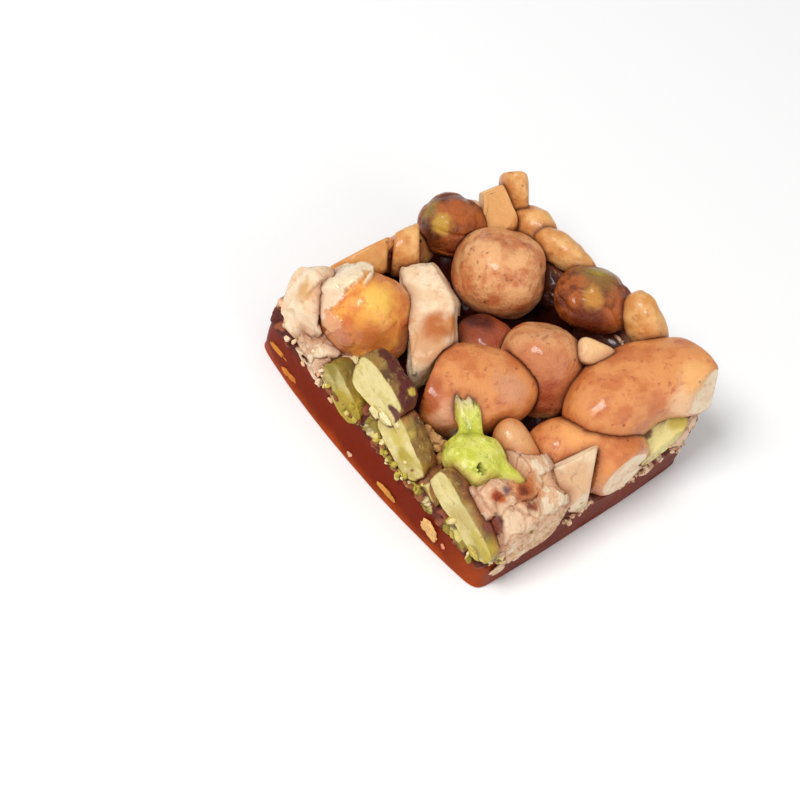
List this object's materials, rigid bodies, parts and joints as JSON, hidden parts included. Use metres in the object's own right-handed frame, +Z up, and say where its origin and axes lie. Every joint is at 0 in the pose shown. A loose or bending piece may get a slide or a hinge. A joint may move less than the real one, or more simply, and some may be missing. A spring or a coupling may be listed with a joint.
{
  "type": "nut cluster bar",
  "caption": "Cut piece of nut and fruit-jelly sweet: a dark translucent jelly slab with whole, split and broken nuts pressed into its top.",
  "frame": {"origin": "middle of the flat underside", "axes": "+X along the long side towards the front corner, +Y along the short side away from the viewer, +Z up"},
  "size_m": [0.054, 0.048, 0.0242],
  "materials": {
    "jelly": "glossy translucent red-brown fruit jelly",
    "hazelnut": "satin tan skin with brown mottling",
    "golden": "syrup-glazed golden nut",
    "cashew": "satin orange-tan nut flesh",
    "peanut": "matt tan kernel",
    "cream": "matt pale broken nut",
    "pistachio_dark": "glossy dark brown skin with gold patches",
    "pistachio_green": "matt cut pistachio, pale yellow-green",
    "pistachio_lime": "satin bright lime pistachio"
  },
  "bodies": {
    "root": {"jelly": "jelly", "hazelnut_1": "hazelnut", "hazelnut_2": "hazelnut", "hazelnut_3": "golden", "hazelnut_4": "hazelnut", "hazelnut_5": "hazelnut", "hazelnut_6": "hazelnut", "cashew_1": "cashew", "cashew_2": "cashew", "cashew_3": "cashew", "cashew_4": "cashew", "cashew_5": "cashew", "cashew_6": "cashew", "pistachio_1": "pistachio_dark", "pistachio_2": "pistachio_dark", "pistachio_3": "pistachio_green", "pistachio_4": "pistachio_green", "pistachio_5": "pistachio_green", "pistachio_6": "pistachio_green", "pistachio_7": "pistachio_green", "pistachio_8": "pistachio_lime", "pistachio_9": "pistachio_dark", "flake_1": "cream", "flake_2": "cream", "flake_3": "cream", "flake_4": "cream", "flake_5": "cream", "flake_6": "cream", "peanut_1": "peanut", "peanut_2": "peanut", "peanut_3": "peanut", "peanut_4": "peanut", "peanut_5": "peanut", "peanut_6": "peanut", "peanut_7": "peanut", "peanut_8": "peanut", "chip_1": "cream", "chip_2": "pistachio_green"}
  },
  "joints": []
}
